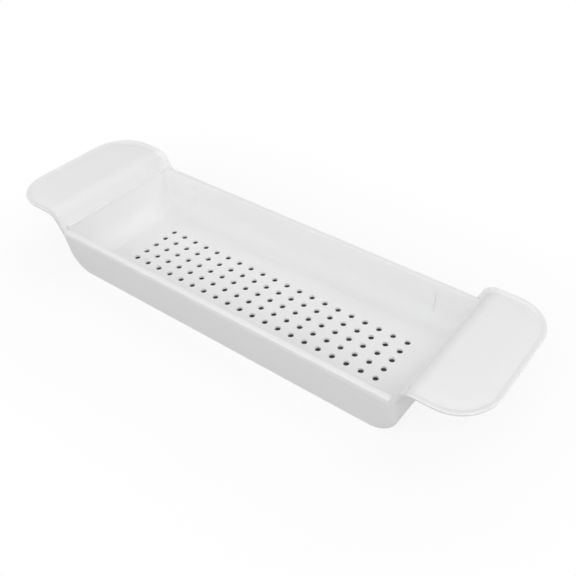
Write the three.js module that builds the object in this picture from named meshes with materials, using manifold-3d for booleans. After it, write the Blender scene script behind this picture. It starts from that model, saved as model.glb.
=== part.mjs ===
// Bath caddy that lies across a bath: a perforated tray with a rolled rim and two wings.
// Millimetres, +Z up, +X along the bath caddy, origin under the middle of its foot.
import * as THREE from 'three';
import { mergeVertices } from 'three/addons/utils/BufferGeometryUtils.js';
import Module from 'manifold-3d';

const wasm = await Module();
wasm.setup();

// Overall sizes
const overallLength = 681;
const rimWidth = 194;
const rimHeight = 59;
const wall = 2.4;
const overrun = 5;

// Basin, inside sizes
const rimBand = 10.8;
const floorClearance = 1.6;
const endFillet = 27;
const sideFillet = 24;
const endLean = 1.8;
const sideLean = 1.2;
const mouthCorner = 7;
const floorCorner = 22;
const mouthEdge = 1.5;

// Rolled rim and skirt along the two long sides
const rimRoll = 7;
const rimRunSetback = 6.5;
const rimEndCorner = 3;
const skirtLean = 7;
const postLean = 5.5;
const postCorner = 11;
const postEdge = 2.5;

// Stiffening webs between the basin and the skirt
const webThickness = 1.6;
const webPitch = 88;
const webRise = 4;

// Drain holes
const holeDiameter = 7.8;
const holePitchAlong = 20;
const holePitchAcross = 17;
const holeEndMargin = 56;
const holeSideMargin = 51;

// Stacking ribs on the inside of the long walls
const stackRibSetback = 56;
const stackRibWidth = 2.4;
const stackRibDepth = 6;
const stackRibDrop = 10;
const stackRibRamp = 13;
const stackRibFoot = 10;

// Bead along the inside of each end wall, level with the rim
const endBead = 1.5;

// Wings
const wingReach = 92.5;
const wingRise = 23.2;
const wingSetback = 2;
const riserAngle = THREE.MathUtils.degToRad(67);
const shoulder = 18;
const tipCorner = 45;
const edgeBead = 1.7;
const edgeBeadRise = 0.8;
const edgeRoot = 4;

// Grip strips and the fences that hold them
const gripWidth = 15;
const gripThickness = 3;
const gripGap = 0.3;
const gripEdge = 0.8;
const gripFence = 1.6;
const gripFenceDrop = 1.8;
const gripRootGap = 0.8;
const gripTipGap = 14;
const gripSideGap = 33;

// Smoothness of round forms
const cornerSteps = 5;
const filletSteps = 7;
const rollSteps = 5;
const shoulderSteps = 7;
const tipSteps = 9;
const tubeSides = 8;
const mouthSteps = 3;
const holeSides = 10;

// Points closer together than this share of the wall are one point
const mergeShare = 1 / 10000;

// Sizes that follow from those above
const quarter = Math.PI / 2;
const floorTop = floorClearance + wall;
const wingHeight = rimHeight + wingRise;
const wingWidth = rimWidth - 2 * wingSetback;
const basinLength = overallLength - 2 * wingReach;
const basinWidth = rimWidth - 2 * rimBand;
const rimRunLength = basinLength - 2 * rimRunSetback;
const webCount = Math.floor(rimRunLength / webPitch);
const holesAlong = 1 + Math.floor((basinLength - 2 * holeEndMargin) / holePitchAlong);
const holesAcross = 1 + Math.floor((basinWidth - 2 * holeSideMargin) / holePitchAcross);
const stackRibSpread = basinLength - 2 * stackRibSetback;
const stackRibTop = rimHeight - stackRibDrop;
const riserFall = (wingRise - shoulder) * Math.cos(riserAngle);
const shoulderReach = (riserFall + shoulder) / Math.sin(riserAngle);
const gripHalf = gripWidth / 2 + gripGap + gripFence;
const gripLength = wingWidth - 2 * gripSideGap;
const innerGripPlace = basinLength / 2 + shoulderReach + gripRootGap + gripHalf;
const outerGripPlace = overallLength / 2 - gripTipGap - gripHalf;

// A three.js geometry as a solid that can be joined and cut
function solidOf(geometry) {
  const bare = geometry.index ? geometry.clone() : geometry;
  bare.deleteAttribute('normal');
  bare.deleteAttribute('uv');
  const merged = mergeVertices(bare, wall * mergeShare);
  return new wasm.Manifold(new wasm.Mesh({
    numProp: 3,
    vertProperties: new Float32Array(merged.attributes.position.array),
    triVerts: new Uint32Array(merged.index.array),
  }));
}

// The geometry of a finished solid
function geometryOf(solid) {
  const mesh = solid.getMesh();
  const indexed = new THREE.BufferGeometry();
  indexed.setAttribute('position', new THREE.BufferAttribute(mesh.vertProperties, mesh.numProp));
  indexed.setIndex(new THREE.BufferAttribute(mesh.triVerts, 1));
  const geometry = indexed.toNonIndexed();
  geometry.computeVertexNormals();
  return geometry;
}

// A closed body through a stack of convex rings that hold the same number of points
function loft(rings) {
  const size = rings[0].length;
  const points = rings.flat();
  const index = [];
  for (let level = 0; level + 1 < rings.length; level += 1) {
    for (let side = 0; side < size; side += 1) {
      const next = (side + 1) % size;
      const low = level * size;
      const high = low + size;
      index.push(low + side, low + next, high + next);
      index.push(low + side, high + next, high + side);
    }
  }
  const top = (rings.length - 1) * size;
  for (let side = 1; side + 1 < size; side += 1) {
    index.push(0, side + 1, side);
    index.push(top, top + side, top + side + 1);
  }
  const geometry = new THREE.BufferGeometry().setFromPoints(points);
  geometry.setIndex(index);
  return geometry;
}

// One level ring: a rectangle with round corners
function ringAt(height, halfLength, halfWidth, corner) {
  const ring = [];
  for (let turn = 0; turn < 4; turn += 1) {
    const signX = turn === 0 || turn === 3 ? 1 : -1;
    const signY = turn < 2 ? 1 : -1;
    for (let step = 0; step <= cornerSteps; step += 1) {
      const angle = (turn + step / cornerSteps) * quarter;
      const x = signX * (halfLength - corner) + corner * Math.cos(angle);
      const y = signY * (halfWidth - corner) + corner * Math.sin(angle);
      ring.push(new THREE.Vector3(x, y, height));
    }
  }
  return ring;
}

// Half the room inside the basin at a height, along one axis, with a skin added outside
function basinHalf(height, half, lean, fillet, skin) {
  const springing = floorTop + fillet;
  const halfAtSpringing = half - lean;
  if (height >= springing) {
    const climbed = (height - springing) / (rimHeight - springing);
    return halfAtSpringing + lean * climbed + skin;
  }
  const radius = fillet + skin;
  const below = Math.min(springing - height, radius);
  return halfAtSpringing - fillet + Math.sqrt(radius * radius - below * below);
}

// The vertical corner of the basin opens towards the floor
function basinCorner(height, skin) {
  const climbed = Math.min(1, Math.max(0, (height - floorTop) / endFillet));
  const opening = (1 - climbed) * (1 - climbed);
  return mouthCorner + (floorCorner - mouthCorner) * opening + skin;
}

// Heights of the rings of a rounded floor, from the floor up to the rim
function basinHeights(skin) {
  const radius = endFillet + skin;
  const springing = floorTop + endFillet;
  const heights = [];
  for (let step = 0; step <= filletSteps; step += 1) {
    heights.push(springing - radius * Math.cos(step / filletSteps * quarter));
  }
  return heights;
}

// The basin as a solid: its inside has no skin and a rounded mouth, its outside has a skin
function basinSolid(skin) {
  const edge = skin > 0 ? 0 : mouthEdge;
  const ring = (height, drawnBack) => ringAt(
    height,
    basinHalf(height, basinLength / 2, endLean, endFillet, skin),
    basinHalf(height, basinWidth / 2, sideLean, sideFillet, skin) + drawnBack,
    basinCorner(height, skin),
  );
  const rings = basinHeights(skin).map((height) => ring(height, 0));
  for (let step = 0; step <= mouthSteps && edge > 0; step += 1) {
    const angle = step / mouthSteps * quarter;
    const height = rimHeight - edge * (1 - Math.sin(angle));
    rings.push(ring(height, edge * (1 - Math.cos(angle))));
  }
  rings.push(ring(rimHeight + overrun, edge));
  return solidOf(loft(rings));
}

// Half the outside length at a height, with the long sweep up from the foot
function outerHalfLength(height, inset) {
  const springing = floorTop + endFillet;
  const half = basinLength / 2 - endLean;
  if (height >= springing) {
    const climbed = (height - springing) / (rimHeight - springing);
    return half + endLean * climbed + wall - inset;
  }
  const below = (springing - Math.max(height, 0)) / springing;
  return half - endFillet + (endFillet + wall) * Math.sqrt(1 - below * below) - inset;
}

// An outer body with leaning sides and a rounded top edge, drawn in by an inset
function outerBody({ width, lean, corner, edge, lengthShare }, inset) {
  const straight = rimHeight - edge;
  const round = Math.max(corner - inset, corner / 2);
  const ring = (height, drawn) => ringAt(
    height,
    outerHalfLength(height, inset) * lengthShare,
    width / 2 - lean * Math.min(1, Math.max(0, (straight - height) / straight)) - inset - drawn,
    round,
  );
  const springing = floorTop + endFillet;
  const rings = inset > 0 ? [ring(-overrun, 0)] : [];
  for (let step = 0; step <= filletSteps; step += 1) {
    rings.push(ring(springing * (1 - Math.cos(step / filletSteps * quarter)), 0));
  }
  const top = rimHeight - inset;
  const roll = Math.max(edge - inset, edge / 2);
  for (let step = 0; step <= rollSteps; step += 1) {
    const angle = step / rollSteps * quarter;
    rings.push(ring(top - roll + roll * Math.sin(angle), roll * (1 - Math.cos(angle))));
  }
  return solidOf(loft(rings));
}

// A box between two corners
function boxBetween(low, high) {
  const size = new THREE.Vector3().subVectors(high, low);
  const centre = new THREE.Vector3().addVectors(low, high).multiplyScalar(1 / 2);
  const geometry = new THREE.BoxGeometry(size.x, size.y, size.z);
  geometry.translate(centre.x, centre.y, centre.z);
  return solidOf(geometry);
}

// Round drain holes through the floor
function drainHoles() {
  const depth = wall + 2 * overrun;
  const holes = [];
  for (let column = 0; column < holesAlong; column += 1) {
    for (let row = 0; row < holesAcross; row += 1) {
      const x = (column - (holesAlong - 1) / 2) * holePitchAlong;
      const y = (row - (holesAcross - 1) / 2) * holePitchAcross;
      const pin = new THREE.CylinderGeometry(holeDiameter / 2, holeDiameter / 2, depth, holeSides);
      pin.rotateX(quarter);
      pin.translate(x, y, floorTop - wall / 2);
      holes.push(solidOf(pin));
    }
  }
  return wasm.Manifold.union(holes);
}

// Thin webs that tie the skirt to the basin
function stiffeningWebs() {
  const webs = [];
  for (let place = 0; place < webCount; place += 1) {
    const x = (place - (webCount - 1) / 2) * webPitch;
    const low = new THREE.Vector3(x - webThickness / 2, -rimWidth, webRise);
    const high = new THREE.Vector3(x + webThickness / 2, rimWidth, rimHeight);
    webs.push(boxBetween(low, high));
  }
  return wasm.Manifold.union(webs);
}

// One stacking rib, on the far wall
function stackingRib(x) {
  const face = basinWidth / 2;
  const crest = face - sideLean - stackRibDepth;
  const shape = new THREE.Shape([
    new THREE.Vector2(face + wall / 2, stackRibTop),
    new THREE.Vector2(crest, stackRibTop - stackRibRamp),
    new THREE.Vector2(crest, stackRibFoot),
    new THREE.Vector2(face + wall / 2, stackRibFoot),
  ]);
  const geometry = new THREE.ExtrudeGeometry(shape, { depth: stackRibWidth, bevelEnabled: false });
  geometry.rotateX(quarter);
  geometry.rotateZ(quarter);
  geometry.translate(x - stackRibWidth / 2, 0, 0);
  return solidOf(geometry);
}

// The line of a wing seen from the side, a depth below its top face, from root to shoulder
function wingLine(depth, rootHeight) {
  const normal = new THREE.Vector2(-Math.sin(riserAngle), Math.cos(riserAngle));
  const foot = new THREE.Vector2(basinLength / 2, rimHeight);
  const centre = new THREE.Vector2(foot.x + shoulderReach, wingHeight - shoulder);
  const radius = shoulder - depth;
  const back = (rimHeight - rootHeight) / Math.tan(riserAngle);
  const line = [new THREE.Vector2(foot.x - back, rootHeight).addScaledVector(normal, -depth)];
  for (let step = 0; step <= shoulderSteps; step += 1) {
    const angle = quarter + riserAngle * (1 - step / shoulderSteps);
    line.push(new THREE.Vector2(
      centre.x + radius * Math.cos(angle),
      centre.y + radius * Math.sin(angle),
    ));
  }
  return line;
}

// How far the riser bends back towards the basin as it follows the corner of the tray
function bendBack(across) {
  const into = Math.max(Math.abs(across) - wingWidth / 2 + postCorner, 0);
  return postCorner - Math.sqrt(postCorner * postCorner - into * into);
}

// Places across the wing where a section is taken: closer together towards its sides
function wingStations() {
  const straight = wingWidth / 2 - tipCorner;
  const half = [];
  for (let step = 0; step <= tipSteps; step += 1) {
    half.push(straight + (tipCorner - edgeBead) * Math.sin(step / tipSteps * quarter));
  }
  return [...half.slice().reverse().map((place) => -place), ...half];
}

// Where the wing ends along the caddy, at a place across it
function wingTip(across) {
  const radius = tipCorner - edgeBead;
  const into = Math.max(Math.abs(across) - wingWidth / 2 + tipCorner, 0);
  const centre = overallLength / 2 - tipCorner;
  return centre + Math.sqrt(Math.max(radius * radius - into * into, 0));
}

// Plate of the wing on the +X end: riser, shoulder and flat top, as one ribbon across
function wingPlate() {
  const rootHeight = rimHeight - endBead / 2;
  const sections = wingStations().map((across) => {
    const line = (depth) => {
      const points = wingLine(depth, rootHeight).map((point) => (
        new THREE.Vector3(point.x - bendBack(across), across, point.y)
      ));
      points.push(new THREE.Vector3(wingTip(across), across, wingHeight - depth));
      return points;
    };
    return [...line(0), ...line(wall).reverse()];
  });
  return solidOf(ribbon(sections));
}

// A closed body through sections that each run out along one face and back along the other
function ribbon(sections) {
  const size = sections[0].length;
  const index = [];
  for (let place = 0; place + 1 < sections.length; place += 1) {
    for (let side = 0; side < size; side += 1) {
      const next = (side + 1) % size;
      const here = place * size;
      const there = here + size;
      index.push(here + side, here + next, there + next);
      index.push(here + side, there + next, there + side);
    }
  }
  const last = (sections.length - 1) * size;
  for (let side = 0; side + 1 < size / 2; side += 1) {
    const across = size - 1 - side;
    index.push(side, across, across - 1, side, across - 1, side + 1);
    index.push(last + side, last + across - 1, last + across);
    index.push(last + side, last + side + 1, last + across - 1);
  }
  const geometry = new THREE.BufferGeometry().setFromPoints(sections.flat());
  geometry.setIndex(index);
  return geometry;
}

// Points along the edge of the wing, from the near root round the tip to the far root
function edgePath() {
  const half = wingWidth / 2 - edgeBead;
  const centre = overallLength / 2 - tipCorner;
  const radius = tipCorner - edgeBead;
  const sunk = edgeBead - edgeBeadRise;
  const nearSide = wingLine(sunk, rimHeight - edgeRoot).map((point) => (
    new THREE.Vector3(point.x - bendBack(half), -half, point.y)
  ));
  for (let step = 0; step <= tipSteps; step += 1) {
    const angle = -quarter + step / tipSteps * quarter;
    const x = centre + radius * Math.cos(angle);
    const y = radius - half + radius * Math.sin(angle);
    nearSide.push(new THREE.Vector3(x, y, wingHeight - sunk));
  }
  const farSide = nearSide.slice().reverse().map((point) => (
    new THREE.Vector3(point.x, -point.y, point.z)
  ));
  return [...nearSide, ...farSide];
}

// Round bead along a path of points, with its section kept square to the path
function beadAlong(path, radius) {
  const up = new THREE.Vector3(0, 0, 1);
  const rings = path.map((point, place) => {
    const before = path[Math.max(place - 1, 0)];
    const after = path[Math.min(place + 1, path.length - 1)];
    const along = new THREE.Vector3().subVectors(after, before).normalize();
    const side = new THREE.Vector3().crossVectors(along, up).normalize();
    const lift = new THREE.Vector3().crossVectors(side, along);
    return Array.from({ length: tubeSides }, (_, step) => {
      const angle = (step + 1 / 2) / tubeSides * 2 * Math.PI;
      return point.clone()
        .addScaledVector(side, radius * Math.cos(angle))
        .addScaledVector(lift, radius * Math.sin(angle));
    });
  });
  return solidOf(loft(rings.reverse()));
}

// Plan of a grip strip, grown by a margin, between two heights
function gripBlock(x, margin, bottom, top, edge) {
  const halfLength = gripWidth / 2 + margin;
  const halfWidth = gripLength / 2 + margin;
  const rings = [
    ringAt(bottom, halfLength - edge, halfWidth - edge, halfLength - edge),
    ringAt(bottom + edge, halfLength, halfWidth, halfLength),
    ringAt(top, halfLength, halfWidth, halfLength),
  ];
  const block = edge > 0 ? rings : rings.slice(1);
  return solidOf(loft(block)).translate([x, 0, 0]);
}

// Fence under the wing that holds one grip strip
function gripHolder(x) {
  const under = wingHeight - wall;
  const outside = gripBlock(x, gripGap + gripFence, under - gripFenceDrop, under + wall / 2, 0);
  const inside = gripBlock(x, gripGap, under - gripFenceDrop - overrun, under, 0);
  return outside.subtract(inside);
}

// The wing on the +X end with its beads and fences
function wingSolid() {
  const endBeadPath = [-1, 1].map((side) => (
    new THREE.Vector3(basinLength / 2, side * (basinWidth / 2 - wall), rimHeight - endBead / 2)
  ));
  return wasm.Manifold.union([
    wingPlate(),
    beadAlong(edgePath(), edgeBead),
    beadAlong(endBeadPath, endBead),
    gripHolder(innerGripPlace),
    gripHolder(outerGripPlace),
  ]);
}

// The whole moulding
function trayMoulding() {
  const posts = {
    width: wingWidth,
    lean: postLean,
    corner: postCorner,
    edge: postEdge,
    lengthShare: 1,
  };
  const rim = {
    width: rimWidth,
    lean: skirtLean,
    corner: rimEndCorner,
    edge: rimRoll,
    lengthShare: rimRunLength / (basinLength + 2 * wall),
  };
  const basinOutside = basinSolid(wall);
  const hollow = outerBody(posts, wall)
    .add(outerBody(rim, wall))
    .subtract(basinOutside)
    .subtract(stiffeningWebs());
  const wing = wingSolid();
  const ribs = [];
  for (const end of [-1, 1]) {
    const rib = stackingRib(end * stackRibSpread / 2).intersect(basinOutside);
    ribs.push(rib, rib.mirror([0, 1, 0]));
  }
  return outerBody(posts, 0)
    .add(outerBody(rim, 0))
    .subtract(hollow)
    .subtract(basinSolid(0))
    .add(wasm.Manifold.union(ribs))
    .add(wing)
    .add(wing.mirror([1, 0, 0]))
    .subtract(drainHoles());
}

// One soft grip strip
function gripStrip(x) {
  const top = wingHeight - wall - gripGap;
  return gripBlock(x, 0, top - gripThickness, top, gripEdge);
}

// Materials
const polypropylene = new THREE.MeshStandardMaterial({ color: 0xeeefee, roughness: 0.42, metalness: 0 });
const softGrip = new THREE.MeshStandardMaterial({ color: 0xc9cbcc, roughness: 0.8, metalness: 0 });

// A named mesh of a solid
function piece(name, solid, material) {
  const mesh = new THREE.Mesh(geometryOf(solid), material);
  mesh.name = name;
  return mesh;
}

const caddy = new THREE.Group();
caddy.add(piece('tray_moulding', trayMoulding(), polypropylene));
for (const [end, side] of [['left', -1], ['right', 1]]) {
  const inner = gripStrip(side * innerGripPlace);
  const outer = gripStrip(side * outerGripPlace);
  caddy.add(piece(`${end}_inner_grip_strip`, inner, softGrip));
  caddy.add(piece(`${end}_outer_grip_strip`, outer, softGrip));
}

export default caddy;
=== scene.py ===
"""Bath caddy: one white moulding with a perforated floor and two wings, and four grip strips."""

import logging
import math
from dataclasses import dataclass, field
from enum import Enum
from typing import Iterable, Sequence

import bpy
import numpy as np
from mathutils import Matrix, Vector


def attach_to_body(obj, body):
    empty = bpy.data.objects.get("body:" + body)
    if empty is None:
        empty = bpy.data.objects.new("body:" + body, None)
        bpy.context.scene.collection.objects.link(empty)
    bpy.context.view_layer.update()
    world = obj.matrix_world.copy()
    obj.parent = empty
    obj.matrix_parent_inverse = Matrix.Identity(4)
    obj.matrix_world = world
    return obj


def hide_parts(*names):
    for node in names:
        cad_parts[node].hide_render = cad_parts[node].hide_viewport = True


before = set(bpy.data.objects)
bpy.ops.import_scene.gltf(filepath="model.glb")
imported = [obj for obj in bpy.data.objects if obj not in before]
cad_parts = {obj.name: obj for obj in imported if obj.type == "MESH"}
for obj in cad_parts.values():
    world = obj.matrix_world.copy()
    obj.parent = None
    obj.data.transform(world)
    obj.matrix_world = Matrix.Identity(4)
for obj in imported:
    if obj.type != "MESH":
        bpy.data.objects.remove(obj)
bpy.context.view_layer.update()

LOG = logging.getLogger("bath_caddy")
MM = 0.001
QUARTER = math.pi / 2
WHITE = (1.0, 1.0, 1.0, 1.0)
NOISE_MEAN = 0.5
FACE_AREA_WEIGHT = 100

Socket = bpy.types.NodeSocket
Piece = bpy.types.Object
Material = bpy.types.Material
Ring = np.ndarray
Face = tuple[int, ...]
Shape = tuple[np.ndarray, list[Face]]
Pair = tuple[float, float]
Triple = tuple[float, float, float]
Colour = tuple[float, float, float, float]


class Combine(Enum):
    """How one body is combined with another."""

    JOIN = "UNION"
    TAKE_AWAY = "DIFFERENCE"
    KEEP_COMMON = "INTERSECT"


class Along(Enum):
    """Axis of the caddy that a mirror turns round."""

    LENGTH = 0
    WIDTH = 1


# Shader graphs


class Link:
    """A socket of a shader graph that takes part in sums and products like a number."""

    def __init__(self, graph: "ShaderGraph", socket: Socket) -> None:
        """Keeps a socket and its graph.

        Args:
            graph: The graph that holds the socket.
            socket: The output socket.
        """
        self.graph = graph
        self.socket = socket

    def _math(self, operation: str, first: "Link | float", second: "Link | float") -> "Link":
        """One Math node.

        Args:
            operation: The operation of the Math node.
            first: First value.
            second: Second value.

        Returns:
            The result.
        """
        return self.graph.node("ShaderNodeMath", {"operation": operation}, {0: first, 1: second})

    def __add__(self, other: "Link | float") -> "Link":
        """The sum."""
        return self._math("ADD", self, other)

    def __radd__(self, other: float) -> "Link":
        """The sum, number first."""
        return self._math("ADD", other, self)

    def __sub__(self, other: "Link | float") -> "Link":
        """The difference."""
        return self._math("SUBTRACT", self, other)

    def __rsub__(self, other: float) -> "Link":
        """The difference, number first."""
        return self._math("SUBTRACT", other, self)

    def __mul__(self, other: "Link | float") -> "Link":
        """The product."""
        return self._math("MULTIPLY", self, other)

    def __rmul__(self, other: float) -> "Link":
        """The product, number first."""
        return self._math("MULTIPLY", other, self)


class ShaderGraph:
    """Builds the nodes of a material or of the world."""

    def __init__(self, owner: Material | bpy.types.World) -> None:
        """Starts an empty graph.

        Args:
            owner: The material or the world.
        """
        owner.use_nodes = True
        self.owner = owner
        self.tree = owner.node_tree
        self.tree.nodes.clear()

    def node(self, kind: str, settings: dict | None = None, values: dict | None = None,
             output: int | str = 0) -> Link:
        """Adds a node.

        Args:
            kind: Type of the node.
            settings: Properties of the node, set before its sockets.
            values: Values or links for its input sockets, by name or number.
            output: Which output to return, by name or number.

        Returns:
            The output as a link.
        """
        made = self.tree.nodes.new(kind)
        for key, value in (settings or {}).items():
            setattr(made, key, value)
        for key, value in (values or {}).items():
            if isinstance(value, Link):
                self.tree.links.new(value.socket, made.inputs[key])
            else:
                made.inputs[key].default_value = value
        return Link(self, made.outputs[output])

    def mix(self, share: Link, first: Link | Colour, second: Link | Colour) -> Link:
        """Blends two colours.

        Args:
            share: How much of the second one shows.
            first: The first colour.
            second: The second colour.

        Returns:
            The blend.
        """
        return self.node(
            "ShaderNodeMix", {"data_type": "RGBA"}, {0: share, 6: first, 7: second}, output=2)

    def noise(self, place: Link, scale: float, detail: float) -> Link:
        """Adds a noise pattern.

        Args:
            place: Where the pattern is read.
            scale: Its scale.
            detail: How many finer layers it has.

        Returns:
            Its value.
        """
        return self.node("ShaderNodeTexNoise", {}, {"Vector": place, "Scale": scale, "Detail": detail})

    def finish(self, surface: Link, output: str = "ShaderNodeOutputMaterial") -> bpy.types.ID:
        """Closes the graph.

        Args:
            surface: The shader to show.
            output: Type of the output node.

        Returns:
            The material or the world.
        """
        made = self.tree.nodes.new(output)
        self.tree.links.new(surface.socket, made.inputs["Surface"])
        return self.owner


@dataclass(frozen=True)
class MouldedPlastic:
    """White polypropylene as it leaves the mould: satin, with a fine grain and faint flow marks."""

    name: str = "white_polypropylene"
    colour: Colour = (0.925, 0.925, 0.926, 1.0)
    deep_colour: Colour = (0.905, 0.906, 0.909, 1.0)
    roughness: float = 0.42
    roughness_swing: float = 0.1
    specular: float = 0.4
    grain_scale: float = 1500.0
    grain_detail: float = 2.0
    grain_depth: float = 0.00002
    flow_scale: float = 26.0
    flow_detail: float = 3.0
    flow_stretch: Triple = (0.35, 1.0, 1.0)
    wave_scale: float = 14.0
    wave_detail: float = 1.0
    wave_depth: float = 0.00012

    def material(self) -> Material:
        """Builds the material.

        Returns:
            The material.
        """
        graph = ShaderGraph(bpy.data.materials.new(self.name))
        place = graph.node("ShaderNodeTexCoord", output="Object")
        drawn = graph.node("ShaderNodeMapping", {}, {"Vector": place, "Scale": self.flow_stretch})
        flow = graph.noise(drawn, self.flow_scale, self.flow_detail)
        fine = graph.noise(place, self.grain_scale, self.grain_detail)
        wave = graph.noise(drawn, self.wave_scale, self.wave_detail)
        colour = graph.mix(flow, self.deep_colour, self.colour)
        swing = (flow - NOISE_MEAN) * self.roughness_swing + (fine - NOISE_MEAN) * self.roughness_swing
        broad = graph.node("ShaderNodeBump", {}, {"Height": wave, "Distance": self.wave_depth})
        bump = graph.node("ShaderNodeBump", {}, {
            "Height": fine, "Distance": self.grain_depth, "Normal": broad})
        surface = graph.node("ShaderNodeBsdfPrincipled", {}, {
            "Base Color": colour, "Roughness": swing + self.roughness,
            "Specular IOR Level": self.specular, "Normal": bump})
        return graph.finish(surface)


@dataclass(frozen=True)
class SoftRubber:
    """Pale grey thermoplastic rubber with a matte, slightly pitted skin."""

    name: str = "soft_grip_rubber"
    colour: Colour = (0.58, 0.59, 0.6, 1.0)
    dusty_colour: Colour = (0.64, 0.65, 0.65, 1.0)
    roughness: float = 0.78
    roughness_swing: float = 0.12
    pit_scale: float = 900.0
    pit_depth: float = 0.00006
    dust_scale: float = 60.0
    dust_detail: float = 4.0

    def material(self) -> Material:
        """Builds the material.

        Returns:
            The material.
        """
        graph = ShaderGraph(bpy.data.materials.new(self.name))
        place = graph.node("ShaderNodeTexCoord", output="Object")
        dust = graph.noise(place, self.dust_scale, self.dust_detail)
        pits = graph.node("ShaderNodeTexVoronoi", {}, {"Vector": place, "Scale": self.pit_scale})
        colour = graph.mix(dust, self.colour, self.dusty_colour)
        roughness = (dust - NOISE_MEAN) * self.roughness_swing + self.roughness
        bump = graph.node("ShaderNodeBump", {}, {"Height": pits, "Distance": self.pit_depth})
        surface = graph.node("ShaderNodeBsdfPrincipled", {}, {
            "Base Color": colour, "Roughness": roughness, "Normal": bump})
        return graph.finish(surface)


# Geometry node trees


class GeometryTree:
    """Builds one Geometry Nodes tree with named inputs."""

    def __init__(self, name: str) -> None:
        """Starts a tree that takes and gives geometry.

        Args:
            name: Name of the tree.
        """
        self.tree = bpy.data.node_groups.new(name, "GeometryNodeTree")
        self.tree.interface.new_socket("Geometry", in_out="INPUT", socket_type="NodeSocketGeometry")
        self.tree.interface.new_socket("Geometry", in_out="OUTPUT", socket_type="NodeSocketGeometry")
        self.values: dict[str, object] = {}
        self.inputs = self.tree.nodes.new("NodeGroupInput")

    def input(self, name: str, kind: str, value: object) -> Socket:
        """Adds a named input.

        Args:
            name: Name of the input.
            kind: Kind of its socket, such as Float.
            value: What the modifier sets it to.

        Returns:
            The socket that gives the value inside the tree.
        """
        made = self.tree.interface.new_socket(name, in_out="INPUT", socket_type=f"NodeSocket{kind}")
        self.values[made.identifier] = value
        return self.inputs.outputs[name]

    def node(self, kind: str, settings: dict | None = None, values: dict | None = None,
             output: int | str | None = 0) -> Socket:
        """Adds a node.

        Args:
            kind: Type of the node.
            settings: Properties of the node, set before its sockets.
            values: Values, sockets or lists of sockets for its inputs, by name or number.
            output: Which output to return, or None for all of them.

        Returns:
            The output socket, or all of them.
        """
        made = self.tree.nodes.new(kind)
        for key, value in (settings or {}).items():
            setattr(made, key, value)
        for key, value in (values or {}).items():
            for item in value if isinstance(value, list) else [value]:
                if isinstance(item, Socket):
                    self.tree.links.new(item, made.inputs[key])
                else:
                    made.inputs[key].default_value = item
        return made.outputs if output is None else made.outputs[output]

    def calc(self, operation: str, first: object, second: object = 0.0) -> Socket:
        """One Math node.

        Args:
            operation: The operation.
            first: First value or socket.
            second: Second value or socket.

        Returns:
            The result.
        """
        return self.node("ShaderNodeMath", {"operation": operation}, {0: first, 1: second})

    def vector(self, x: object = 0.0, y: object = 0.0, z: object = 0.0) -> Socket:
        """One Combine XYZ node.

        Args:
            x: X value or socket.
            y: Y value or socket.
            z: Z value or socket.

        Returns:
            The vector.
        """
        return self.node("ShaderNodeCombineXYZ", {}, {0: x, 1: y, 2: z})

    def moved(self, geometry: Socket, rise: Socket) -> Socket:
        """One Transform Geometry node that lifts.

        Args:
            geometry: What it lifts.
            rise: How far.

        Returns:
            The geometry.
        """
        return self.node("GeometryNodeTransform", {}, {
            "Geometry": geometry, "Translation": self.vector(0.0, 0.0, rise)})

    def close(self, geometry: Socket, material: Material) -> None:
        """Ends the tree in Realize Instances and Set Material.

        Args:
            geometry: The geometry to give.
            material: The material to set.
        """
        finish = self.input("Material", "Material", material)
        real = self.node("GeometryNodeRealizeInstances", {}, {0: geometry})
        dressed = self.node("GeometryNodeSetMaterial", {}, {"Geometry": real, "Material": finish})
        output = self.tree.nodes.new("NodeGroupOutput")
        self.tree.links.new(dressed, output.inputs[0])

    def apply(self, target: Piece) -> None:
        """Runs the tree on an object and leaves the result as its plain mesh.

        Args:
            target: The object.
        """
        modifier = target.modifiers.new(self.tree.name, "NODES")
        modifier.node_group = self.tree
        for key, value in self.values.items():
            modifier[key] = value
        bake(target)


# Mesh code


def bake(target: Piece) -> None:
    """Turns what the modifiers of an object give into its plain mesh.

    Args:
        target: The object.
    """
    bpy.context.view_layer.update()
    graph = bpy.context.evaluated_depsgraph_get()
    mesh = bpy.data.meshes.new_from_object(target.evaluated_get(graph), depsgraph=graph)
    target.modifiers.clear()
    target.data = mesh
    mesh.name = target.name


def body(name: str, points: np.ndarray, faces: Iterable[Face]) -> Piece:
    """An object from points in millimetres.

    Args:
        name: Name of the object.
        points: Its points, in millimetres.
        faces: Its faces.

    Returns:
        The object.
    """
    mesh = bpy.data.meshes.new(name)
    mesh.from_pydata((np.asarray(points, float) * MM).tolist(), [], list(faces))
    mesh.validate()
    made = bpy.data.objects.new(name, mesh)
    bpy.context.scene.collection.objects.link(made)
    return made


def loft(rings: Sequence[Ring]) -> Shape:
    """A closed body through rings that hold the same number of points.

    Args:
        rings: The rings, from the lowest to the highest, each anticlockwise from above.

    Returns:
        Its points and faces.
    """
    size = len(rings[0])
    faces: list[Face] = [tuple(reversed(range(size)))]
    for level in range(len(rings) - 1):
        low = level * size
        for side in range(size):
            following = (side + 1) % size
            faces.append((low + side, low + following, low + size + following, low + size + side))
    top = (len(rings) - 1) * size
    faces.append(tuple(range(top, top + size)))
    return np.vstack(rings), faces


def mirrored(shape: Shape, along: Along) -> Shape:
    """A shape on the other side of the middle, with its faces still outwards.

    Args:
        shape: Points and faces.
        along: The axis that changes sign.

    Returns:
        Points and faces.
    """
    points, faces = shape
    turned = np.array(points)
    turned[:, along.value] *= -1
    return turned, [tuple(reversed(face)) for face in faces]


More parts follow.
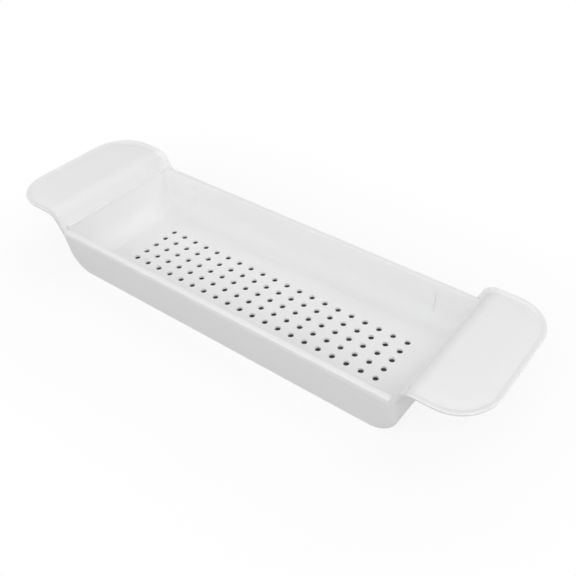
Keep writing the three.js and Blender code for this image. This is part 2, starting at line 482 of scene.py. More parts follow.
def combine(base: Piece, other: Piece, how: Combine) -> Piece:
    """Combines two bodies into the first and removes the second.

    Args:
        base: The first body.
        other: The second body.
        how: How they are combined.

    Returns:
        The first body.
    """
    modifier = base.modifiers.new(how.value, "BOOLEAN")
    modifier.operation = how.value
    modifier.solver = "MANIFOLD"
    modifier.object = other
    bake(base)
    bpy.data.objects.remove(other)
    return base


@dataclass(frozen=True)
class Steps:
    """How finely round forms are drawn."""

    corner: int = 14
    fillet: int = 26
    roll: int = 14
    shoulder: int = 22
    tip: int = 26
    mouth: int = 6
    bead: int = 20
    across: int = 12
    riser: int = 4
    flat: int = 5


STEPS = Steps()


def level_ring(height: float, half_length: float, half_width: float, corner: float,
               centre: Pair = (0.0, 0.0)) -> Ring:
    """A level rectangle with round corners, anticlockwise.

    Args:
        height: Its height.
        half_length: Half its size along the caddy.
        half_width: Half its size across the caddy.
        corner: Radius of its corners.
        centre: Its centre in plan.

    Returns:
        Its points.
    """
    turn = np.repeat(np.arange(4), STEPS.corner + 1)
    step = np.tile(np.arange(STEPS.corner + 1), 4)
    angle = (turn + step / STEPS.corner) * QUARTER
    sign_x = np.where((turn == 0) | (turn == 3), 1.0, -1.0)
    sign_y = np.where(turn < 2, 1.0, -1.0)
    x = centre[0] + sign_x * (half_length - corner) + corner * np.cos(angle)
    y = centre[1] + sign_y * (half_width - corner) + corner * np.sin(angle)
    return np.column_stack([x, y, np.full(len(x), height)])


# The tray


@dataclass
class Basin:
    """The bowl of the tray: flat floor, round foot, leaning walls and a rounded mouth. Millimetres."""

    length: float = 500.4
    width: float = 172.4
    rim_height: float = 59.0
    floor_clearance: float = 1.6
    wall: float = 2.4
    end_fillet: float = 27.0
    side_fillet: float = 24.0
    end_lean: float = 1.8
    side_lean: float = 1.2
    mouth_corner: float = 7.0
    floor_corner: float = 22.0
    mouth_edge: float = 1.5
    overrun: float = 5.0

    @property
    def floor_top(self) -> float:
        """Height of the face that things stand on."""
        return self.floor_clearance + self.wall

    @property
    def springing(self) -> float:
        """Height at which the round foot of the end walls ends."""
        return self.floor_top + self.end_fillet

    def half(self, height: float, half: float, lean: float, fillet: float, skin: float) -> float:
        """Half the room inside the bowl at a height, along one axis.

        Args:
            height: The height.
            half: Half the room at the mouth.
            lean: How far the wall leans.
            fillet: Radius of the foot of the wall.
            skin: Thickness that is added outside.

        Returns:
            Half the room.
        """
        springing = self.floor_top + fillet
        if height >= springing:
            return half - lean + lean * (height - springing) / (self.rim_height - springing) + skin
        radius = fillet + skin
        below = min(springing - height, radius)
        return half - lean - fillet + math.sqrt(radius * radius - below * below)

    def corner(self, height: float, skin: float) -> float:
        """Radius of the upright corner at a height: it opens towards the floor.

        Args:
            height: The height.
            skin: Thickness that is added outside.

        Returns:
            The radius.
        """
        climbed = min(1.0, max(0.0, (height - self.floor_top) / self.end_fillet))
        return self.mouth_corner + (self.floor_corner - self.mouth_corner) * (1 - climbed) ** 2 + skin

    def ring(self, height: float, skin: float, drawn_back: float) -> Ring:
        """One ring of the bowl.

        Args:
            height: Its height.
            skin: Thickness that is added outside.
            drawn_back: How far the long sides are drawn back.

        Returns:
            Its points.
        """
        return level_ring(
            height,
            self.half(height, self.length / 2, self.end_lean, self.end_fillet, skin),
            self.half(height, self.width / 2, self.side_lean, self.side_fillet, skin) + drawn_back,
            self.corner(height, skin))

    def solid(self, name: str, skin: float) -> Piece:
        """The bowl as a solid that can be joined or cut.

        Args:
            name: Name of the object.
            skin: Thickness that is added outside, or zero for the room inside.

        Returns:
            The object.
        """
        edge = 0.0 if skin > 0 else self.mouth_edge
        radius = self.end_fillet + skin
        turns = np.linspace(0.0, QUARTER, STEPS.fillet + 1)
        rings = [self.ring(self.springing - radius * math.cos(turn), skin, 0.0) for turn in turns]
        if edge > 0:
            for turn in np.linspace(0.0, QUARTER, STEPS.mouth + 1):
                height = self.rim_height - edge * (1 - math.sin(turn))
                rings.append(self.ring(height, skin, edge * (1 - math.cos(turn))))
        rings.append(self.ring(self.rim_height + self.overrun, skin, edge))
        return body(name, *loft(rings))


@dataclass
class Skirt:
    """The outside of the tray: rolled rims with skirts, or the four corner posts. Millimetres."""

    basin: Basin
    width: float
    lean: float
    corner: float
    edge: Pair
    length_share: float = 1.0
    foot_edge: float = 0.7
    sweep_power: float = 2.2

    @property
    def straight(self) -> float:
        """Height at which the roll of the edge starts."""
        return self.basin.rim_height - self.edge[1]

    @property
    def tangent(self) -> float:
        """Where the roll meets the leaning skirt.

        Returns:
            The place on the roll, as an angle below level.
        """
        across, height = self.edge
        slope = self.lean / self.straight
        return math.asin(slope / math.hypot(slope, across / height))

    def half_length(self, height: float, inset: float) -> float:
        """Half the outside length at a height, with the long sweep up from the foot.

        Args:
            height: The height.
            inset: How far the body is drawn in.

        Returns:
            Half the length.
        """
        basin = self.basin
        springing = basin.springing
        half = basin.length / 2 - basin.end_lean
        if height >= springing:
            climbed = (height - springing) / (basin.rim_height - springing)
            return half + basin.end_lean * climbed + basin.wall - inset
        below = (springing - max(height, 0.0)) / springing
        sweep = (1 - below ** self.sweep_power) ** (1 / self.sweep_power)
        return half - basin.end_fillet + (basin.end_fillet + basin.wall) * sweep - inset

    def ring(self, height: float, inset: float, drawn: float) -> Ring:
        """One ring of the outside.

        Args:
            height: Its height.
            inset: How far the body is drawn in.
            drawn: How far the long sides are drawn in by a roll.

        Returns:
            Its points.
        """
        below = max(0.0, self.straight - height)
        curved = min(below, self.edge[1] * math.sin(self.tangent))
        leaning = self.edge[0] * (1 - math.sqrt(1 - (curved / self.edge[1]) ** 2))
        leaning += (below - curved) * self.lean / self.straight
        foot = max(0.0, self.foot_edge - max(height, 0.0))
        rounded = self.foot_edge - math.sqrt(self.foot_edge ** 2 - foot ** 2)
        drawn += rounded if inset == 0 else -rounded
        return level_ring(
            height,
            self.half_length(height, inset) * self.length_share,
            self.width / 2 - leaning - inset - drawn,
            max(self.corner - inset, self.corner / 2))

    def solid(self, name: str, inset: float) -> Piece:
        """The outside as a solid, or the room inside it if it has an inset.

        Args:
            name: Name of the object.
            inset: How far the body is drawn in.

        Returns:
            The object.
        """
        basin = self.basin
        rings = [self.ring(-basin.overrun, inset, 0.0)] if inset > 0 else []
        for turn in np.linspace(0.0, QUARTER, STEPS.fillet + 1):
            rings.append(self.ring(basin.springing * (1 - math.cos(turn)), inset, 0.0))
        across, rise = (max(size - inset, size / 2) for size in self.edge)
        middle = basin.rim_height - inset - rise
        for turn in [-self.tangent, *np.linspace(0.0, QUARTER, STEPS.roll + 1)]:
            drawn = across * (1 - math.cos(max(turn, 0.0)))
            rings.append(self.ring(middle + rise * math.sin(turn), inset, drawn))
        return body(name, *loft(rings))


@dataclass
class StiffeningWebs:
    """Thin webs that tie each skirt to the basin. Millimetres."""

    basin: Basin
    count: int = 5
    pitch: float = 88.0
    thickness: float = 1.6
    rise: float = 4.0
    reach: float = 194.0

    def solid(self, material: Material) -> Piece:
        """The webs, placed by a Geometry Nodes tree.

        Args:
            material: The material that the tree sets.

        Returns:
            The object.
        """
        tree = GeometryTree("stiffening_webs")
        count = tree.input("Count", "Int", self.count)
        pitch = tree.input("Pitch", "Float", self.pitch * MM)
        height = self.basin.rim_height - self.rise
        size = tree.input("Web size", "Vector", (self.thickness * MM, 2 * self.reach * MM, height * MM))
        first = -(self.count - 1) / 2 * self.pitch
        start = tree.input("First web", "Vector", (first * MM, 0.0, (self.rise + height / 2) * MM))
        line = tree.node("GeometryNodeMeshLine", {}, {
            "Count": count, "Start Location": start, "Offset": tree.vector(pitch)})
        web = tree.node("GeometryNodeMeshCube", {}, {"Size": size})
        webs = tree.node("GeometryNodeInstanceOnPoints", {}, {"Points": line, "Instance": web})
        tree.close(webs, material)
        made = body("stiffening_webs", np.zeros((0, 3)), [])
        tree.apply(made)
        return made


@dataclass
class DrainHoles:
    """Round drain holes with a little draft and a softened upper edge. Millimetres."""

    basin: Basin
    along: int = 20
    across: int = 5
    pitch_along: float = 20.0
    pitch_across: float = 17.0
    bore: float = 7.6
    foot_bore: float = 6.7
    sides: int = 28
    edge: float = 0.35
    edge_steps: int = 3
    overrun: float = 3.6
    weld: float = 0.0076

    def pin(self, tree: GeometryTree) -> Socket:
        """One hole as a solid, with the floor's top face at height zero.

        Args:
            tree: The tree to add to.

        Returns:
            The solid.
        """
        radius = tree.input("Foot radius", "Float", self.foot_bore / 2 * MM)
        sides = tree.input("Sides", "Int", self.sides)
        edge = tree.input("Edge radius", "Float", self.edge * MM)
        wall = tree.input("Floor thickness", "Float", self.basin.wall * MM)
        overrun = tree.input("Overrun", "Float", self.overrun * MM)
        sheet = tree.node(
            "GeometryNodeMeshCircle", {"fill_type": "NGON"}, {"Vertices": sides, "Radius": radius})
        low = tree.calc("MULTIPLY", tree.calc("ADD", wall, overrun), -1.0)
        sheet = tree.moved(sheet, low)
        foot = tree.node("GeometryNodeFlipFaces", {}, {"Mesh": sheet})
        column, cap = self.raised(tree, sheet, None, overrun)
        column, cap = self.raised(tree, column, cap, tree.calc("SUBTRACT", wall, edge))
        column = self.flared(tree, column, cap, self.bore / self.foot_bore)
        before = 1.0
        for step in range(1, self.edge_steps + 1):
            turn = step / self.edge_steps * QUARTER
            rise = math.sin(turn) - math.sin(turn - QUARTER / self.edge_steps)
            column, cap = self.raised(tree, column, cap, tree.calc("MULTIPLY", edge, rise))
            flare = 1 + 2 * self.edge * (1 - math.cos(turn)) / self.bore
            column = self.flared(tree, column, cap, flare / before)
            before = flare
        column, cap = self.raised(tree, column, cap, edge)
        joined = tree.node("GeometryNodeJoinGeometry", {}, {"Geometry": [column, foot]})
        return tree.node("GeometryNodeMergeByDistance", {}, {"Geometry": joined, "Distance": self.weld * MM})

    def cut(self, target: Piece, material: Material) -> None:
        """Cuts the holes with a Geometry Nodes tree and gives the result its material.

        Args:
            target: The body to cut.
            material: The material that the tree sets.
        """
        tree = GeometryTree("drain_holes")
        along = tree.input("Holes along", "Int", self.along)
        across = tree.input("Holes across", "Int", self.across)
        pitch_along = tree.input("Pitch along", "Float", self.pitch_along * MM)
        pitch_across = tree.input("Pitch across", "Float", self.pitch_across * MM)
        top = tree.input("Floor height", "Float", self.basin.floor_top * MM)
        span_along = tree.calc("MULTIPLY", tree.calc("SUBTRACT", along, 1.0), pitch_along)
        span_across = tree.calc("MULTIPLY", tree.calc("SUBTRACT", across, 1.0), pitch_across)
        grid = tree.node("GeometryNodeMeshGrid", {}, {
            "Size X": span_along, "Size Y": span_across, "Vertices X": along, "Vertices Y": across})
        pins = tree.node("GeometryNodeInstanceOnPoints", {}, {
            "Points": tree.moved(grid, top), "Instance": self.pin(tree)})
        pins = tree.node("GeometryNodeRealizeInstances", {}, {0: pins})
        floor = tree.node(
            "GeometryNodeMeshBoolean", {"operation": "DIFFERENCE", "solver": "MANIFOLD"},
            {"Mesh 1": tree.inputs.outputs["Geometry"], "Mesh 2": pins})
        tree.close(floor, material)
        tree.apply(target)

    @staticmethod
    def flared(tree: GeometryTree, mesh: Socket, cap: Socket, share: float) -> Socket:
        """Widens the cap of a pin.

        Args:
            tree: The tree.
            mesh: The pin so far.
            cap: Selects its cap.
            share: How much wider the cap becomes.

        Returns:
            The pin.
        """
        return tree.node("GeometryNodeScaleElements", {"domain": "FACE"}, {
            "Geometry": mesh, "Selection": cap, "Scale": share})

    @staticmethod
    def raised(tree: GeometryTree, mesh: Socket, cap: Socket | None,
               rise: Socket) -> tuple[Socket, Socket]:
        """Draws the cap of a pin upwards.

        Args:
            tree: The tree.
            mesh: The pin so far.
            cap: Selects its cap, or None if the whole sheet is the cap.
            rise: How far the cap rises.

        Returns:
            The pin and the selection of its new cap.
        """
        values = {
            "Mesh": mesh, "Offset": tree.vector(0.0, 0.0, rise), "Offset Scale": 1.0, "Individual": False}
        if cap is not None:
            values["Selection"] = cap
        made = tree.node("GeometryNodeExtrudeMesh", {"mode": "FACES"}, values, output=None)
        return made["Mesh"], made["Top"]


@dataclass
class StackingRib:
    """A rib on the inside of a long wall, on which a second caddy stacks. Millimetres."""

    basin: Basin
    setback: float = 56.0
    width: float = 2.2
    depth: float = 2.2
    drop: float = 10.0
    ramp: float = 13.0
    foot: float = 10.0
    crest_corner: float = 0.95
    corner_share: float = 0.9
    ramp_steps: int = 8

    def shape(self, end: int) -> Shape:
        """The rib on the far wall.

        Args:
            end: -1 for the left end, 1 for the right end.

        Returns:
            Its points and faces.
        """
        basin = self.basin
        x = end * (basin.length / 2 - self.setback)
        face = basin.width / 2
        back = face + basin.wall / 2
        top = basin.rim_height - self.drop
        places = [(self.foot, self.depth), (top - self.ramp, self.depth)]
        for step in range(1, self.ramp_steps + 1):
            share = step / self.ramp_steps
            places.append((top - self.ramp * (1 - share), self.depth * (1 - share)))
        rings = []
        for height, depth in places:
            crest = face - basin.side_lean - depth
            half = (back - crest) / 2
            corner = min(self.crest_corner, half * self.corner_share)
            rings.append(level_ring(height, self.width / 2, half, corner, (x, (back + crest) / 2)))
        return loft(rings)


# The wings


@dataclass
class Wing:
    """The wing on the right: riser, shoulder and flat top with a raised edge bead. Millimetres."""

    basin: Basin
    reach: float = 90.6
    rise: float = 22.8
    width: float = 190.0
    wall: float = 2.4
    riser_angle: float = math.radians(67)
    shoulder: float = 18.0
    tip_corner: float = 49.0
    lip: tuple[Pair, ...] = (
        (3.3, 0.05), (2.7, -0.1), (2.1, -0.2), (1.5, -0.22), (0.95, -0.2), (0.5, -0.12),
        (0.2, 0.02), (0.05, 0.2), (0.0, 0.45), (0.05, 0.85), (0.25, 1.45), (0.46, 2.05),
        (0.66, 2.6), (0.9, 2.9), (1.3, 3.05), (2.0, 3.0), (2.6, 2.8))
    post_corner: float = 7.0
    root_drop: float = 1.8
    groove: float = 0.75
    groove_places: tuple[float, ...] = (
        20.5, 18.0, 16.0, 14.0, 12.5, 11.2, 10.0, 9.0, 8.2, 7.5, 6.9, 6.3, 5.7, 5.1, 4.5, 3.9)
    groove_middle: float = 6.3
    groove_reach: Pair = (2.9, 13.5)
    end_bead: float = 1.9
    end_bead_reach: float = 0.5
    end_bead_drop: float = 0.9

    @property
    def height(self) -> float:
        """Height of the flat top."""
        return self.basin.rim_height + self.rise

    @property
    def tip(self) -> float:
        """Where the wing ends along the caddy."""
        return self.basin.length / 2 + self.reach

    @property
    def shoulder_reach(self) -> float:
        """From the end of the basin to where the flat top begins."""
        fall = (self.rise - self.shoulder) * math.cos(self.riser_angle)
        return (fall + self.shoulder) / math.sin(self.riser_angle)

    @property
    def root_height(self) -> float:
        """Height at which the riser starts, inside the end wall."""
        return self.basin.rim_height - self.root_drop

    @property
    def lengths(self) -> Triple:
        """How long the parts of the wing are along its surface.

        Returns:
            Lengths of the riser, the shoulder and the flat top.
        """
        centre_height = self.height - self.shoulder
        arc_start = centre_height + self.shoulder * math.cos(self.riser_angle)
        riser = (arc_start - self.root_height) / math.sin(self.riser_angle)
        return riser, self.shoulder * self.riser_angle, self.tip - self.basin.length / 2 - self.shoulder_reach

    def along(self, place: float) -> tuple[np.ndarray, np.ndarray, float]:
        """The line of the wing seen from the side.

        Args:
            place: Distance along the surface from the root.

        Returns:
            The point in X and Z, the unit direction along the surface, and how much of the bend
            at the posts is left.
        """
        riser, arc, _ = self.lengths
        flat_start = self.basin.length / 2 + self.shoulder_reach
        centre = np.array([flat_start, self.height - self.shoulder])
        if place >= riser + arc:
            beyond = place - riser - arc
            left = max(0.0, 1 - beyond / (self.tip - self.tip_corner - flat_start))
            return centre + [beyond, self.shoulder], np.array([1.0, 0.0]), left * left * (3 - 2 * left)
        turned = max(place - riser, 0.0) / self.shoulder
        angle = QUARTER + self.riser_angle - turned
        point = centre + self.shoulder * np.array([math.cos(angle), math.sin(angle)])
        direction = np.array([math.sin(angle), -math.cos(angle)])
        if place < riser:
            point = point - direction * (riser - place)
        return point, direction, 1.0

    def bend(self, across: float) -> float:
        """How far the riser bends back as it follows the corner of the tray.

        Args:
            across: Place across the wing.

        Returns:
            The distance.
        """
        into = min(max(abs(across) - self.width / 2 + self.post_corner, 0.0), self.post_corner)
        return self.post_corner - math.sqrt(self.post_corner ** 2 - into ** 2)

    def point(self, place: float, across: float, depth: float) -> np.ndarray:
        """A point on or near the top face.

        Args:
            place: Distance along the surface from the root.
            across: Place across the wing.
            depth: Distance below the top face.

        Returns:
            The point.
        """
        at, direction, left = self.along(place)
        x = at[0] - self.bend(across) * left
        up = np.array([-direction[1], 0.0, direction[0]])
        return np.array([x, across, at[1]]) - depth * up

    def path(self, inset: float) -> list[Pair]:
        """The near half of the edge, from the root to the straight part of the tip.

        Args:
            inset: Distance from the edge, inwards.

        Returns:
            Place along and place across at each step.
        """
        riser, arc, flat = self.lengths
        end = riser + arc + flat
        corner_start = end - self.tip_corner
        half = self.width / 2 - inset
        stops = ((0.0, riser, STEPS.riser), (riser, riser + arc, STEPS.shoulder),
                 (riser + arc, corner_start, STEPS.flat))
        line = [(place, -half) for start, stop, count in stops
                for place in np.linspace(start, stop, count + 1)[:-1]]
        radius = self.tip_corner - inset
        for step in range(STEPS.tip + 1):
            heading = -QUARTER + step / STEPS.tip * QUARTER
            place = corner_start + radius * math.cos(heading)
            line.append((place, -half + radius * (1 + math.sin(heading))))
        return line

    def section(self) -> list[Pair]:
        """The edge in section, from the top face round the lip to the underside.

        Returns:
            Distance in from the edge and depth below the top face, at each step.
        """
        places = []
        for place in self.groove_places:
            away = place - self.groove_middle
            reach = self.groove_reach[1] if away > 0 else self.groove_reach[0]
            share = max(0.0, 1 - (away / reach) ** 2)
            places.append((place, self.groove * share * share))
        return [*places, *self.lip, *[(place, self.wall) for place in reversed(self.groove_places)]]

    def plate(self) -> Shape:
        """The plate with its edge bead, closed at the root.

        Returns:
            Its points and faces.
        """
        steps = len(self.path(0.0))
        points: list[np.ndarray] = []
        tips = STEPS.across
        lines: list[list[int]] = []
        for inset, depth in self.section():
            near = [self.point(place, across, depth) for place, across in self.path(inset)]
            far = [at * [1, -1, 1] for at in reversed(near)]
            tip = [near[-1] + (far[0] - near[-1]) * step / tips for step in range(1, tips)]
            start = len(points)
            points += near + tip + far
            lines.append(list(range(start, len(points))))
        faces: list[Face] = []
        for one, other in zip(lines, lines[1:]):
            for place in range(len(one) - 1):
                faces.append((one[place], other[place], other[place + 1], one[place + 1]))
        top = self.sheet(points, lines[0], steps)
        under = self.sheet(points, lines[-1], steps)
        for place in range(steps - 1):
            for step in range(tips):
                after = step + 1
                faces.append((
                    top[place][step], top[place + 1][step], top[place + 1][after], top[place][after]))
                faces.append((
                    under[place][step], under[place][after], under[place + 1][after], under[place + 1][step]))
        inner = len(self.groove_places)
        for side in (0, -1):
            ends = [line[side] for line in lines]
            pairs = [(ends[place], ends[-1 - place]) for place in range(inner)]
            strip = [(a, b, d, c) for (a, b), (c, d) in zip(pairs, pairs[1:])]
            strip.append(tuple(reversed(ends[inner - 1:len(ends) - inner + 1])))
            faces += strip if side == 0 else [tuple(reversed(face)) for face in strip]
        for step in range(tips):
            faces.append((top[0][step], top[0][step + 1], under[0][step + 1], under[0][step]))
        return np.array(points), faces

    def sheet(self, points: list[np.ndarray], line: list[int], steps: int) -> list[list[int]]:
        """Rows of points straight across, inside one line of the edge.

        Args:
            points: All points so far; new ones are added.
            line: The line of the edge, by number.
            steps: How many of its points are on the near half.

        Returns:
            The rows, by number.
        """
        rows = []
        for place in range(steps - 1):
            near, far = line[place], line[-1 - place]
            row = [near]
            for step in range(1, STEPS.across):
                share = step / STEPS.across
                points.append(points[near] * (1 - share) + points[far] * share)
                row.append(len(points) - 1)
            rows.append([*row, far])
        rows.append(line[steps - 1:len(line) - steps + 1])
        return rows

    def end_bead_shape(self) -> Shape:
        """The bead across the inside of the end wall.

        Returns:
            Its points and faces.
        """
        basin = self.basin
        rings = []
        for across in (-1, 1):
            turns = np.arange(STEPS.bead) / STEPS.bead * 2 * math.pi
            y = across * (basin.width / 2 - self.wall)
            x = basin.length / 2 - self.end_bead_reach + self.end_bead * np.cos(turns)
            z = basin.rim_height - self.end_bead_drop + self.end_bead * np.sin(turns)
            rings.append(np.column_stack([x, np.full(len(x), y), z]))
        points, faces = loft(rings)
        return points, [tuple(reversed(face)) for face in faces]


@dataclass
class GripStrip:
    """A soft strip under a wing, and the low fence that holds it. Millimetres."""

    name: str
    place: float
    wing: Wing
    length: float = 124.0
    width: float = 15.0
    thickness: float = 3.0
    gap: float = 0.3
    edge: float = 0.8
    fence: float = 1.6
    fence_drop: float = 1.8
    fence_edge: float = 0.4
    overrun: float = 5.0
    smooth_angle: float = math.radians(40)

    @property
    def ceiling(self) -> float:
        """Height of the wing's underside."""
        return self.wing.height - self.wing.wall

    def block(self, margin: float, bottom: float, top: float, edge: float) -> Shape:
        """A block with round ends in plan and a rounded lower edge.

        Args:
            margin: How far it is grown in plan.
            bottom: Height of its underside.
            top: Height of its top.
            edge: Radius of its lower edge.

        Returns:
            Its points and faces.
        """
        half_length = self.width / 2 + margin
        half_width = self.length / 2 + margin
        rings = []
        turns = np.linspace(0.0, QUARTER, STEPS.mouth + 1) if edge > 0 else [QUARTER]
        for turn in turns:
            drawn = edge * (1 - math.sin(turn))
            height = bottom + edge * (1 - math.cos(turn))
            rings.append(level_ring(
                height, half_length - drawn, half_width - drawn, half_length - drawn, (self.place, 0.0)))
        rings.append(level_ring(top, half_length, half_width, half_length, (self.place, 0.0)))
        return loft(rings)

    def holder(self) -> Piece:
        """The fence under the wing.

        Returns:
            The object.
        """
        low = self.ceiling - self.fence_drop
        high = self.ceiling + self.wing.wall / 2
        outside = body("fence", *self.block(self.gap + self.fence, low, high, self.fence_edge))
        inside = body("fence_room", *self.block(self.gap, low - self.overrun, self.ceiling, 0.0))
        return combine(outside, inside, Combine.TAKE_AWAY)

    def strip(self, material: Material) -> Piece:
        """The strip, dressed, in place of its CAD node.

        Args:
            material: Its material.

        Returns:
            The object.
        """
        top = self.ceiling - self.gap
        made = body(f"{self.name}_soft", *self.block(0.0, top - self.thickness, top, self.edge))
        made.data.materials.append(material)
        smooth(made, self.smooth_angle)
        return made


def smooth(target: Piece, angle: float) -> None:
    """Smooth shading with sharp edges past an angle, and flat faces kept flat.

    Args:
        target: The object.
        angle: Edges sharper than this stay sharp.
    """
    target.data.shade_smooth()
    target.data.set_sharp_from_angle(angle=angle)
    modifier = target.modifiers.new("even_light", "WEIGHTED_NORMAL")
    modifier.keep_sharp = True
    modifier.weight = FACE_AREA_WEIGHT
    bake(target)


@dataclass
class TrayMoulding:
    """The whole moulding. Millimetres."""

    basin: Basin = field(default_factory=Basin)
    rim_width: float = 188.8
    rim_lean: float = 4.4
    rim_roll: Pair = (3.4, 6.0)
    rim_end_corner: float = 4.5
    rim_run: float = 498.0
    post_width: float = 188.2
    post_lean: float = 4.4
    post_edge: Pair = (2.5, 2.5)
    smooth_angle: float = math.radians(34)

    def build(self, wing: Wing, grips: Sequence[GripStrip], material: Material) -> Piece:
        """Builds the moulding.

        Args:
            wing: The wing on the right.
            grips: The grip strips under both wings.
            material: The material of the moulding.

        Returns:
            The object.
        """
        basin = self.basin
        posts = Skirt(basin, self.post_width, self.post_lean, wing.post_corner, self.post_edge)
        share = self.rim_run / (basin.length + 2 * basin.wall)
        rim = Skirt(basin, self.rim_width, self.rim_lean, self.rim_end_corner, self.rim_roll, share)
        hollow = combine(
            posts.solid("post_room", basin.wall), rim.solid("rim_room", basin.wall), Combine.JOIN)
        hollow = combine(hollow, basin.solid("bowl_outside", basin.wall), Combine.TAKE_AWAY)
        hollow = combine(hollow, StiffeningWebs(basin).solid(material), Combine.TAKE_AWAY)
        made = combine(posts.solid("tray_shell", 0.0), rim.solid("rims", 0.0), Combine.JOIN)
        made = combine(made, hollow, Combine.TAKE_AWAY)
        made = combine(made, basin.solid("bowl_room", 0.0), Combine.TAKE_AWAY)
        rib = StackingRib(basin)
        for end in (-1, 1):
            for shape in (rib.shape(end), mirrored(rib.shape(end), Along.WIDTH)):
                held = combine(
                    body("rib", *shape), basin.solid("bowl_outside", basin.wall), Combine.KEEP_COMMON)
                made = combine(made, held, Combine.JOIN)
        for shape in (wing.plate(), wing.end_bead_shape()):
            made = combine(made, body("wing", *shape), Combine.JOIN)
            made = combine(made, body("wing", *mirrored(shape, Along.LENGTH)), Combine.JOIN)
        for grip in grips:
            made = combine(made, grip.holder(), Combine.JOIN)
        DrainHoles(basin).cut(made, material)
        smooth(made, self.smooth_angle)
        return made


# The studio


@dataclass(frozen=True)
class PhotoCamera:
    """The photograph's viewing angle."""

    place: Triple = (0.4863, -0.50724, 0.61593)
    azimuth: float = math.radians(34.523)
    elevation: float = math.radians(40.7478)
    roll: float = math.radians(0.19)
    focal_pixels: float = 739.05
    middle_pixel: Pair = (354.23, 288.5)
    image_pixels: float = 576.0
    sensor: float = 36.0
    clip: Pair = (0.01, 50.0)

    def build(self) -> Piece:
        """Makes the scene's camera.

        Returns:
            The camera.
        """
        data = bpy.data.cameras.new("photo_camera")
        data.sensor_width = self.sensor
        data.lens = self.focal_pixels / self.image_pixels * self.sensor
        half = self.image_pixels / 2
        data.shift_x = (half - self.middle_pixel[0]) / self.image_pixels
        data.shift_y = (self.middle_pixel[1] - half) / self.image_pixels
        data.clip_start, data.clip_end = self.clip
        camera = bpy.data.objects.new("photo_camera", data)
        sin_a, cos_a = math.sin(self.azimuth), math.cos(self.azimuth)
        sin_e, cos_e = math.sin(self.elevation), math.cos(self.elevation)
        ahead = Vector((-sin_a * cos_e, cos_a * cos_e, -sin_e))
        right = Vector((cos_a, sin_a, 0.0))
        up = right.cross(ahead)
        leaning = right * math.cos(self.roll) + up * math.sin(self.roll)
        upright = up * math.cos(self.roll) - right * math.sin(self.roll)
        turn = Matrix((leaning, upright, -ahead)).transposed().to_4x4()
        camera.matrix_world = Matrix.Translation(self.place) @ turn
        bpy.context.scene.collection.objects.link(camera)
        bpy.context.scene.camera = camera
        return camera


@dataclass(frozen=True)
class SoftBox:
    """A large soft lamp that points at the middle of the caddy. Metres and watts."""

    name: str
    place: Triple
    size: Pair
    power: float

    def build(self) -> Piece:
        """Makes the lamp.

        Returns:
            The lamp.
        """
        data = bpy.data.lights.new(self.name, "AREA")
        data.shape = "RECTANGLE"
        data.size, data.size_y = self.size
        data.energy = self.power
        lamp = bpy.data.objects.new(self.name, data)
        lamp.location = self.place
        lamp.rotation_euler = Vector(self.place).to_track_quat("Z", "Y").to_euler()
        bpy.context.scene.collection.objects.link(lamp)
        return lamp


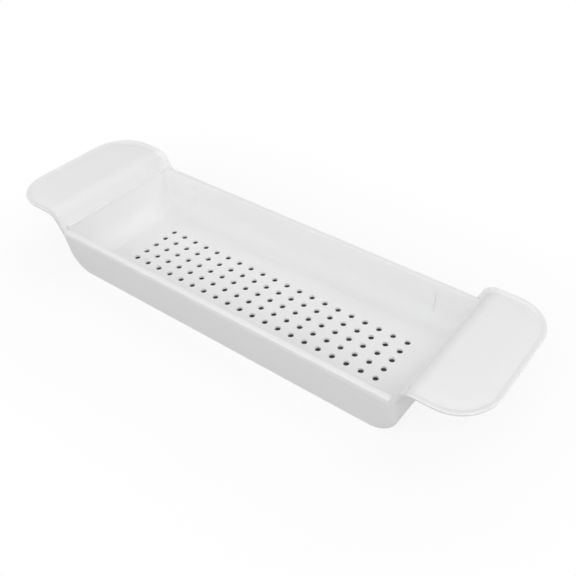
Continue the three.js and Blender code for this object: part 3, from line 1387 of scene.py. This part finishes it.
@dataclass
class Studio:
    """Pale floor with painted shade under the tray, white surroundings and soft lamps. Metres."""

    floor_size: float = 8.0
    floor_colour: Colour = (0.38, 0.38, 0.38, 1.0)
    covered: Triple = (0.222, 0.074, 0.0)
    edge_band: float = 0.016
    seen_colour: Colour = (0.9, 0.9, 0.9, 1.0)
    near_white: float = 0.86
    fade_band: float = 0.3
    # Painted shade: a dark floor colour under the tray, seen only through the drain holes.
    painted_shade_under_tray: Colour = (0.12, 0.12, 0.12, 1.0)
    room_light: float = 0.271
    lamps: tuple[SoftBox, ...] = (
        SoftBox("ceiling_light", (0.0, 0.0, 2.2), (3.2, 3.2), 1.15),
        SoftBox("overhead_soft_box", (0.0, 0.0, 1.8), (1.6, 1.2), 0.25),
        SoftBox("back_overhead_light", (0.0, 0.8, 1.9), (1.6, 1.0), 3.6),
        SoftBox("right_soft_box", (1.6, 0.0, 0.9), (1.2, 1.0), 0.3),
        SoftBox("low_right_light", (1.8, 0.0, 0.4), (1.0, 0.6), 6.0),
        SoftBox("left_soft_box", (-1.6, 0.0, 0.9), (1.2, 1.0), 2.4),
        SoftBox("front_soft_box", (0.0, -1.6, 0.9), (1.2, 1.0), 3.2),
        SoftBox("high_front_light", (0.0, -1.2, 1.6), (1.6, 1.2), 5.0),
        SoftBox("low_front_light", (0.0, -1.8, 0.35), (1.6, 0.6), 3.6),
        SoftBox("low_front_left_light", (-1.3, -1.3, 0.5), (1.0, 0.6), 0.8),
        SoftBox("low_front_right_light", (1.3, -1.3, 0.5), (1.0, 0.6), 0.85),
        SoftBox("front_right_light", (1.1, -0.9, 1.4), (1.0, 1.0), 5.4),
        SoftBox("front_left_light", (-1.1, -0.9, 1.4), (1.0, 1.0), 2.75),
        SoftBox("back_right_light", (1.1, 0.9, 1.4), (1.0, 1.0), 5.35),
        SoftBox("back_left_light", (-1.1, 0.9, 1.4), (1.0, 1.0), 1.6),
    )

    def seen(self, graph: ShaderGraph) -> Link:
        """One for what the camera sees, straight, in a gloss or through glass.

        Args:
            graph: The graph to add to.

        Returns:
            The value.
        """
        straight = graph.node("ShaderNodeLightPath", output="Is Camera Ray")
        gloss = graph.node("ShaderNodeLightPath", output="Is Glossy Ray")
        glass = graph.node("ShaderNodeLightPath", output="Is Transmission Ray")
        return graph.node(
            "ShaderNodeMath", {"operation": "ADD", "use_clamp": True}, {0: straight + gloss, 1: glass})

    def away(self, graph: ShaderGraph) -> Link:
        """How far a spot of the floor is from the tray's foot.

        Args:
            graph: The graph to add to.

        Returns:
            The distance.
        """
        place = graph.node("ShaderNodeTexCoord", output="Object")
        place = graph.node("ShaderNodeVectorMath", {"operation": "ABSOLUTE"}, {0: place})
        beyond = graph.node("ShaderNodeVectorMath", {"operation": "SUBTRACT"}, {0: place, 1: self.covered})
        beyond = graph.node("ShaderNodeVectorMath", {"operation": "MAXIMUM"}, {0: beyond})
        return graph.node("ShaderNodeVectorMath", {"operation": "LENGTH"}, {0: beyond}, output="Value")

    def floor(self) -> Piece:
        """The floor: white to the camera with the caddy's shadow on it, and painted dark under the tray, a
        painted shade that the holes show.

        Returns:
            The floor.
        """
        graph = ShaderGraph(bpy.data.materials.new("studio_floor"))
        away = self.away(graph)
        # Painted shade mask: nought under the tray's footprint, one clear of it; it also lets the white
        # backdrop in.
        clear = graph.node("ShaderNodeMapRange", {"interpolation_type": "SMOOTHSTEP"}, {
            "Value": away, "From Max": self.edge_band})
        far = graph.node("ShaderNodeMapRange", {"interpolation_type": "SMOOTHSTEP"}, {
            "Value": away, "From Min": self.edge_band, "From Max": self.fade_band})
        seen = self.seen(graph)
        # Painted shade: the floor colour is dark under the tray and plain outside it.
        colour = graph.mix(clear, self.painted_shade_under_tray, graph.mix(seen, self.floor_colour, self.seen_colour))
        plain = graph.node("ShaderNodeBsdfDiffuse", {}, {"Color": colour})
        white = graph.node("ShaderNodeEmission", {}, {"Color": WHITE, "Strength": 1.0})
        share = seen * (clear * self.near_white + far * (1 - self.near_white))
        mixed = graph.node("ShaderNodeMixShader", {}, {0: share, 1: plain, 2: white})
        half = self.floor_size / 2 / MM
        corners = np.array([(-half, -half, 0.0), (half, -half, 0.0), (half, half, 0.0), (-half, half, 0.0)])
        made = body("studio_floor", corners, [(0, 1, 2, 3)])
        made.data.materials.append(graph.finish(mixed))
        return made

    def surroundings(self) -> None:
        """The room: white to the camera, softly lit for the caddy."""
        graph = ShaderGraph(bpy.data.worlds.new("studio_room"))
        strength = self.seen(graph) * (1 - self.room_light) + self.room_light
        light = graph.node("ShaderNodeBackground", {}, {"Color": WHITE, "Strength": strength})
        bpy.context.scene.world = graph.finish(light, "ShaderNodeOutputWorld")

    def build(self) -> None:
        """Makes the studio."""
        bpy.context.scene.view_settings.view_transform = "Standard"
        self.surroundings()
        self.floor()
        for lamp in self.lamps:
            lamp.build()


def attach(piece: Piece, node: str) -> None:
    """Lets a piece stand for its CAD node.

    Args:
        piece: The piece.
        node: The CAD node.
    """
    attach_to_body(piece, "root")
    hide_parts(node)
    triangles = sum(len(face.vertices) - 2 for face in piece.data.polygons)
    LOG.info("%s stands for %s, %d triangles", piece.name, node, triangles)


def main() -> None:
    """Builds the camera, the studio and the caddy."""
    logging.basicConfig(level=logging.INFO, format="%(name)s: %(message)s")
    PhotoCamera().build()
    Studio().build()
    plastic = MouldedPlastic().material()
    rubber = SoftRubber().material()
    places = {"left_inner": -279.96, "left_outer": -317.1, "right_inner": 279.96, "right_outer": 317.1}
    tray = TrayMoulding()
    wing = Wing(tray.basin)
    grips = [GripStrip(f"{name}_grip_strip", place, wing) for name, place in places.items()]
    moulding = tray.build(wing, grips, plastic)
    moulding.name = "tray_moulding_finished"
    attach(moulding, "tray_moulding")
    for grip in grips:
        attach(grip.strip(rubber), grip.name)


if __name__ == "__main__":
    main()
